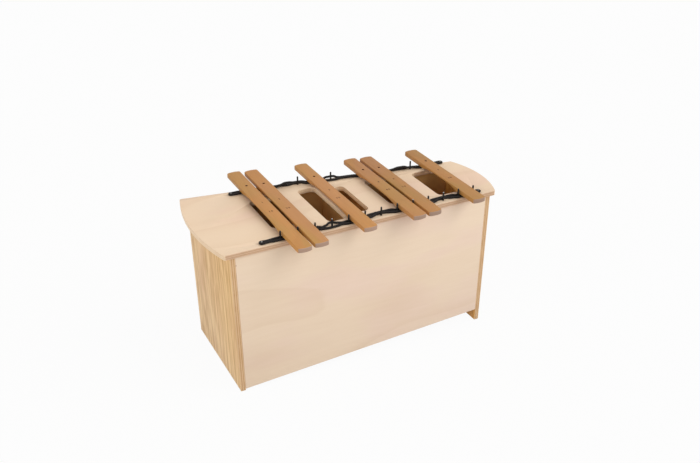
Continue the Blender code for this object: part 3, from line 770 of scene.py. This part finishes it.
def lie(route, places):
    """How the strands lie at each place: the route's values, eased from station to station."""
    route = np.array(route)
    after = np.clip(np.searchsorted(route[:, 0], places), 1, len(route) - 1)
    start, end = route[after - 1], route[after]
    share = np.clip((places - start[:, 0]) / (end[:, 0] - start[:, 0]), 0.0, 1.0)[:, None]
    eased = share * share * (3 - 2 * share)
    return (start[:, 1:] + eased * (end[:, 1:] - start[:, 1:])).T


def softened(points):
    """The points of a strand averaged with their neighbours, so that it bends gently."""
    weights = np.hanning(2 * SOFTENED_STEPS + 3)[1:-1]
    weights /= weights.sum()
    padded = np.pad(points, ((SOFTENED_STEPS, SOFTENED_STEPS), (0, 0)), "reflect",
                    reflect_type="odd")
    return np.stack([np.convolve(column, weights, "valid") for column in padded.T], axis=1)


def pressed(path):
    """How far each point of a path lies under a bar: one there, and easing to none beside it."""
    share = np.zeros(len(path))
    for number in range(1, 7):
        low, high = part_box(f"tone_bar_{number}")
        beyond = np.maximum(low.x - path[:, 0], path[:, 0] - high.x)
        beyond = np.clip(beyond / PRESSED_EASE, 0.0, 1.0)
        share = np.maximum(share, 1 - beyond * beyond * (3 - 2 * beyond))
    return share


def cord_points(first, along, pitch, route, nails):
    """The whole closed route: out along one strand, round a nail, back along the other.

    Each station of the route gives its place on the row, how far behind the row the two
    strands' middle lies, the spread between them, and their turn about that middle in degrees.
    At 0 both lie on the lid, the first one behind. At 90 that one passes over the other.
    """
    across = np.array((-along[1], along[0]))
    ends = [((nail - first) @ along / pitch, (nail - first) @ across) for nail in nails]
    turns = (route[0][3], route[-1][3])
    left, right = [(*end, 2 * NAIL_CLEAR, turn) for end, turn in zip(ends, turns)]
    places = np.linspace(left[0], right[0], round((right[0] - left[0]) * CORD_STEPS))
    middle, spread, turn = lie([left, *route, right], places)
    turn = np.radians(turn)
    floor = LID_TOP + SEAM + CORD_RADIUS

    def strand(side):
        reach = middle + side * spread / 2 * np.cos(turn)
        lift = spread / 2 * (np.abs(np.sin(turn)) + side * np.sin(turn))
        flat = first + places[:, None] * pitch * along + reach[:, None] * across
        return softened(np.column_stack([flat, floor + lift]))

    def loop(nail, out, side):
        angle = math.pi * (0.5 - np.arange(1, LOOP_STEPS)[:, None] / LOOP_STEPS) * side
        flat = nail + NAIL_CLEAR * (out * along * np.cos(angle) + across * np.sin(angle))
        return np.column_stack([flat, np.full(len(flat), floor)])

    right_loop = loop(nails[1], 1, math.cos(math.radians(turns[1])))
    left_loop = loop(nails[0], -1, -math.cos(math.radians(turns[0])))
    return np.concatenate([strand(1), right_loop, strand(-1)[::-1], left_loop])


def tube_mesh(name, path, width, height, sides):
    """An oval as wide and high as said at each point, carried upright round a closed path.

    The UVs are in metres: U runs round the tube and V along it.
    """
    along = np.roll(path, -1, axis=0) - np.roll(path, 1, axis=0)
    along /= np.linalg.norm(along, axis=1)[:, None]
    right = np.cross(along, (0.0, 0.0, 1.0))
    right /= np.linalg.norm(right, axis=1)[:, None]
    up = np.cross(right, along)
    angle = np.linspace(0.0, 2 * math.pi, sides, endpoint=False)[None, :, None]
    right, up = right * width[:, None] / 2, up * height[:, None] / 2
    rings = path[:, None] + right[:, None] * np.cos(angle) + up[:, None] * np.sin(angle)
    mesh = bpy.data.meshes.new(name)
    quads = ring_quads(len(path), sides, wrapped=True)
    mesh.from_pydata(rings.reshape(-1, 3).tolist(), [], quads.tolist())
    steps = np.linalg.norm(np.roll(path, -1, axis=0) - path, axis=1)
    run = np.concatenate([[0.0], np.cumsum(steps)])
    u = np.arange(sides + 1) * math.pi * CORD_DIAMETER / sides
    start, end, near, far = np.broadcast_arrays(run[:-1, None], run[1:, None], u[:-1], u[1:])
    corners = np.stack([near, start, far, start, far, end, near, end], axis=-1)
    layer = mesh.uv_layers.new(name="round_and_along")
    layer.data.foreach_set("uv", corners.ravel())
    mesh.shade_smooth()
    return mesh


def make_sheath_material():
    """A tight black braid: two sets of slanting threads, each over the other by turns."""
    made = bpy.data.materials.new("cord_sheath")
    made.use_nodes = True
    tree = made.node_tree
    place = add_node(tree, "ShaderNodeTexCoord").outputs
    apart = add_node(tree, "ShaderNodeSeparateXYZ", {0: place["UV"]}).outputs
    around = calc(tree, "MULTIPLY", apart["X"], 2 * SHEATH_THREADS / CORD_DIAMETER)
    forward = calc(tree, "MULTIPLY", apart["Y"], math.pi * SHEATH_THREADS / CORD_DIAMETER)
    one_way = calc(tree, "SINE", calc(tree, "ADD", around, forward))
    other_way = calc(tree, "SINE", calc(tree, "SUBTRACT", around, forward))
    weave = calc(tree, "MAXIMUM", one_way, other_way)
    fleck = noise(tree, place["Object"], 700.0, 2.0, 0.6)
    worn = calc(tree, "MULTIPLY", ranged(tree, fleck, 0.45, 0.75), ranged(tree, weave, 0.0, 1.0))
    bump = add_node(tree, "ShaderNodeBump", {"Strength": 0.35, "Distance": 0.0002,
                                             "Height": weave})
    shader = tree.nodes["Principled BSDF"]
    tree.links.new(mixed_colour(tree, worn, CORD_BLACK, CORD_WORN), shader.inputs["Base Color"])
    tree.links.new(bump.outputs[0], shader.inputs["Normal"])
    shader.inputs["Roughness"].default_value = 0.65
    shader.inputs["Specular IOR Level"].default_value = 0.20
    return made


def add_cord(node, pins, places, route, nails):
    """A cord along the row between two pins, whose places on the row are given."""
    start, end = (np.array(middle_of(pin)[:2]) for pin in pins)
    pitch = np.linalg.norm(end - start) / (places[1] - places[0])
    along = (end - start) / np.linalg.norm(end - start)
    ends = [np.array(middle_of(nail)[:2]) for nail in nails]
    path = cord_points(start - places[0] * pitch * along, along, pitch, route, ends)
    share = pressed(path)
    width = CORD_DIAMETER + share * (PRESSED_WIDTH - CORD_DIAMETER)
    height = CORD_DIAMETER + share * (PRESSED_HEIGHT - CORD_DIAMETER)
    path[:, 2] += (height - CORD_DIAMETER) / 2
    mesh = tube_mesh(node + "_sheathed", path, width, height, CORD_SIDES)
    add_piece(node + "_sheathed", mesh, "resonator", cord_sheath, [node])


cord_sheath = make_sheath_material()
front_route = [
    (0.32, 0.0, CLOSE, 0),
    (0.66, 0.0, 0.0140, 0),
    (1, *beside(FRONT_CLEAR)),
    (2.92, *beside(FRONT_CLEAR)),
    (3.02, 0.0, 0.0165, -10),
    (3.22, 0.001, CLOSE, -140),
    (3.46, 0.0, 0.0092, -172),
    (3.7, *opened(FRONT_CLEAR, 0.0155, -170)),
    (3.93, *opened(FRONT_CLEAR, FRONT_EYE_SPREAD, -168)),
    (4.1, *opened(FRONT_CLEAR, FRONT_EYE_SPREAD, -168)),
    (4.34, 0.0020, 0.0165, -170),
    (4.5, 0.002, 0.0108, -172),
    (4.65, 0.001, CLOSE, -176),
    (4.94, *beside(FRONT_CLEAR, -180)),
    (6.04, *beside(FRONT_CLEAR, -180)),
    (6.38, 0.004, 0.0107, -160),
    (6.8, *behind(FRONT_CLEAR, -178)),
    (7.2, *behind(FRONT_CLEAR, -178)),
    (7.62, 0.004, 0.0110, -158),
    (7.95, *beside(FRONT_CLEAR, -180)),
    (10.05, *beside(FRONT_CLEAR, -180)),
    (10.38, 0.004, 0.0107, -160),
    (10.8, *behind(FRONT_CLEAR, -178)),
    (11.2, *behind(FRONT_CLEAR, -178)),
    (11.62, 0.004, 0.0110, -158),
    (11.95, *beside(FRONT_CLEAR, -180)),
    (13, *beside(FRONT_CLEAR, -180)),
]
add_cord("front_cord", ("front_pin_sleeve_01", "front_pin_sleeve_13"), (1, 13), front_route,
         ("cord_nail_01", "cord_nail_02"))

back_route = [
    (1, *beside(BACK_CLEAR)),
    (2, *beside(BACK_CLEAR)),
    (2.45, 0.0, 0.0090, 0),
    (2.95, 0.001, CLOSE, -35),
    (3.4, 0.003, CLOSE, -121),
    (3.8, *behind(BACK_CLEAR, -180)),
    (4.2, *behind(BACK_CLEAR, -180)),
    (4.55, 0.002, 0.0110, -180),
    (5, *beside(BACK_CLEAR, -180)),
    (5.42, 0.001, 0.0120, -180),
    (5.8, *opened(BACK_CLEAR, BACK_EYE_SPREAD, -170)),
    (6.2, *opened(BACK_CLEAR, BACK_EYE_SPREAD, -168)),
    (6.62, 0.001, CLOSE, -195),
    (6.85, 0.001, CLOSE, -190),
    (7.1, 0.001, CLOSE, -194),
    (7.48, 0.0, 0.0092, -182),
    (8, *beside(BACK_CLEAR, -180)),
    (9, *beside(BACK_CLEAR, -180)),
    (9.45, 0.0, 0.0090, -182),
    (9.88, 0.001, CLOSE, -215),
    (10.22, 0.001, CLOSE, -256),
    (10.42, 0.001, CLOSE, -258),
    (10.82, 0.0, 0.0157, -205),
    (11.15, 0.0, 0.0157, -203),
    (11.35, 0.0, 0.0100, -194),
    (11.5, 0.0, 0.0098, -182),
    (12, *beside(BACK_CLEAR, -180)),
]
add_cord("back_cord", ("back_pin_01", "back_pin_09"), (1, 12), back_route,
         ("cord_nail_03", "cord_nail_04"))

# The pins: along the front, nails in black rubber sleeves; along the back, sheathed pins that
# the bars drop over. Short nails hold the cords' ends. All are driven into the lid.
TURN_SIDES = 28
SLEEVE_RIM = 0.0006
HEAD_THICKNESS = 0.0016
RUBBER_BLACK = (0.012, 0.010, 0.009, 1.0)
RUBBER_GREY = (0.035, 0.028, 0.024, 1.0)
STEEL = (0.42, 0.41, 0.39, 1.0)
# A darkened copy of the steel for nail heads that show no glint: painted shade.
PAINTED_DARK_STEEL = (0.075, 0.065, 0.060, 1.0)
# The front nails whose heads keep the plain steel and its glint. The rest get the darkened copy.
PAINTED_GLINT_HEADS = (4, 9, 11)


def turned(name, profile, place):
    """A profile of (radius, height) turned about an upright axis at a place, its ends closed."""
    radius, height = np.array(profile).T
    angle = np.linspace(0.0, 2 * math.pi, TURN_SIDES, endpoint=False)
    x = place[0] + radius[:, None] * np.cos(angle)
    y = place[1] + radius[:, None] * np.sin(angle)
    z = np.broadcast_to(place[2] + height[:, None], x.shape)
    points = np.stack([x, y, z], axis=-1).reshape(-1, 3)
    rings = len(profile)
    caps = np.array([np.arange(TURN_SIDES), (rings - 1) * TURN_SIDES + np.arange(TURN_SIDES)])
    faces = ring_quads(rings, TURN_SIDES).tolist() + caps.tolist()
    return closed_mesh(name, points, faces, 40)


def quarter(centre, radius, start, end, steps=5):
    """Points (radius, height) on a circle from one angle in degrees to another."""
    angle = np.radians(np.linspace(start, end, steps))
    return list(zip(centre[0] + radius * np.cos(angle), centre[1] + radius * np.sin(angle)))


def head_profile(top, head, shank, foot):
    """A low domed head over a shank, from just off the middle of the dome to the foot."""
    under = top - HEAD_THICKNESS
    turn = np.radians(np.linspace(8, 90, 8))
    dome = list(zip(head * np.sin(turn), under + HEAD_THICKNESS * (0.4 + 0.6 * np.cos(turn))))
    return dome + [(head, under), (shank, under), (shank, foot)]


def make_rubber_material():
    """Dull moulded rubber with a fine grain and paler scuffs."""
    made = bpy.data.materials.new("sleeve_rubber")
    made.use_nodes = True
    tree = made.node_tree
    place = add_node(tree, "ShaderNodeTexCoord").outputs
    grain = noise(tree, place["Object"], 1800.0, 3.0, 0.6)
    scuff = noise(tree, stretched(tree, place["Object"], (500.0, 500.0, 120.0)), 1.0, 2.0)
    bump = add_node(tree, "ShaderNodeBump", {"Strength": 0.4, "Distance": 0.0001,
                                             "Height": grain})
    shader = tree.nodes["Principled BSDF"]
    tree.links.new(mixed_colour(tree, ranged(tree, scuff, 0.5, 0.8), RUBBER_BLACK, RUBBER_GREY),
                   shader.inputs["Base Color"])
    tree.links.new(bump.outputs[0], shader.inputs["Normal"])
    shader.inputs["Roughness"].default_value = 0.60
    shader.inputs["Specular IOR Level"].default_value = 0.20
    return made


def make_steel(name, colour, low_roughness, high_roughness):
    """Steel with fine scuffs that change how it shines."""
    made = bpy.data.materials.new(name)
    made.use_nodes = True
    tree = made.node_tree
    place = add_node(tree, "ShaderNodeTexCoord").outputs
    scuff = noise(tree, place["Object"], 2500.0, 3.0, 0.6)
    shader = tree.nodes["Principled BSDF"]
    shader.inputs["Base Color"].default_value = colour
    shader.inputs["Metallic"].default_value = 1.0
    tree.links.new(ranged(tree, scuff, 0.3, 0.7, low_roughness, high_roughness),
                   shader.inputs["Roughness"])
    return made


sleeve_rubber = make_rubber_material()
bright_steel = make_steel("bright_steel", STEEL, 0.2, 0.42)
painted_dark_steel = make_steel("painted_dark_steel", PAINTED_DARK_STEEL, 0.35, 0.6)


def stand_of(node):
    """Where a pin stands on the lid, its radius and its height above the lid."""
    low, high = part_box(node)
    middle = (low + high) / 2
    return (middle.x, middle.y, LID_TOP), (high.x - low.x) / 2, high.z - LID_TOP


for number in range(1, 14):
    node = f"front_pin_sleeve_{number:02d}"
    place, radius, height = stand_of(node)
    inner = NAIL_SHANK_RADIUS + SEAM
    rim = quarter((radius - SLEEVE_RIM, height - SLEEVE_RIM), SLEEVE_RIM, 90, 0)
    profile = [(inner, height), *rim, (radius * 1.02, height * 0.5), (radius, SEAM),
               (inner, SEAM)]
    add_piece(node + "_moulded", turned(node + "_moulded", profile, place), "resonator",
              sleeve_rubber, [node])
    node = f"front_pin_nail_{number:02d}"
    place, radius, height = stand_of(node)
    profile = head_profile(height, radius, NAIL_SHANK_RADIUS, -SEAM)
    # Painted glint and shade: the listed heads are plain steel, the others a darkened copy of it.
    finish = bright_steel if number in PAINTED_GLINT_HEADS else painted_dark_steel
    add_piece(node + "_turned", turned(node + "_turned", profile, place), "resonator",
              finish, [node])

for number in range(1, 10):
    node = f"back_pin_{number:02d}"
    place, radius, height = stand_of(node)
    dome = quarter((0.0, height - radius), radius, 84, 0, 9)
    profile = dome + [(radius, SEAM + SLEEVE_RIM), (radius - SLEEVE_RIM, SEAM)]
    add_piece(node + "_sheathed", turned(node + "_sheathed", profile, place), "resonator",
              sleeve_rubber, [node])

for number in range(1, 5):
    node = f"cord_nail_{number:02d}"
    place, radius, height = stand_of(node)
    profile = head_profile(height, radius, NAIL_SHANK_RADIUS, -SEAM)
    add_piece(node + "_turned", turned(node + "_turned", profile, place), "resonator",
              bright_steel, [node])
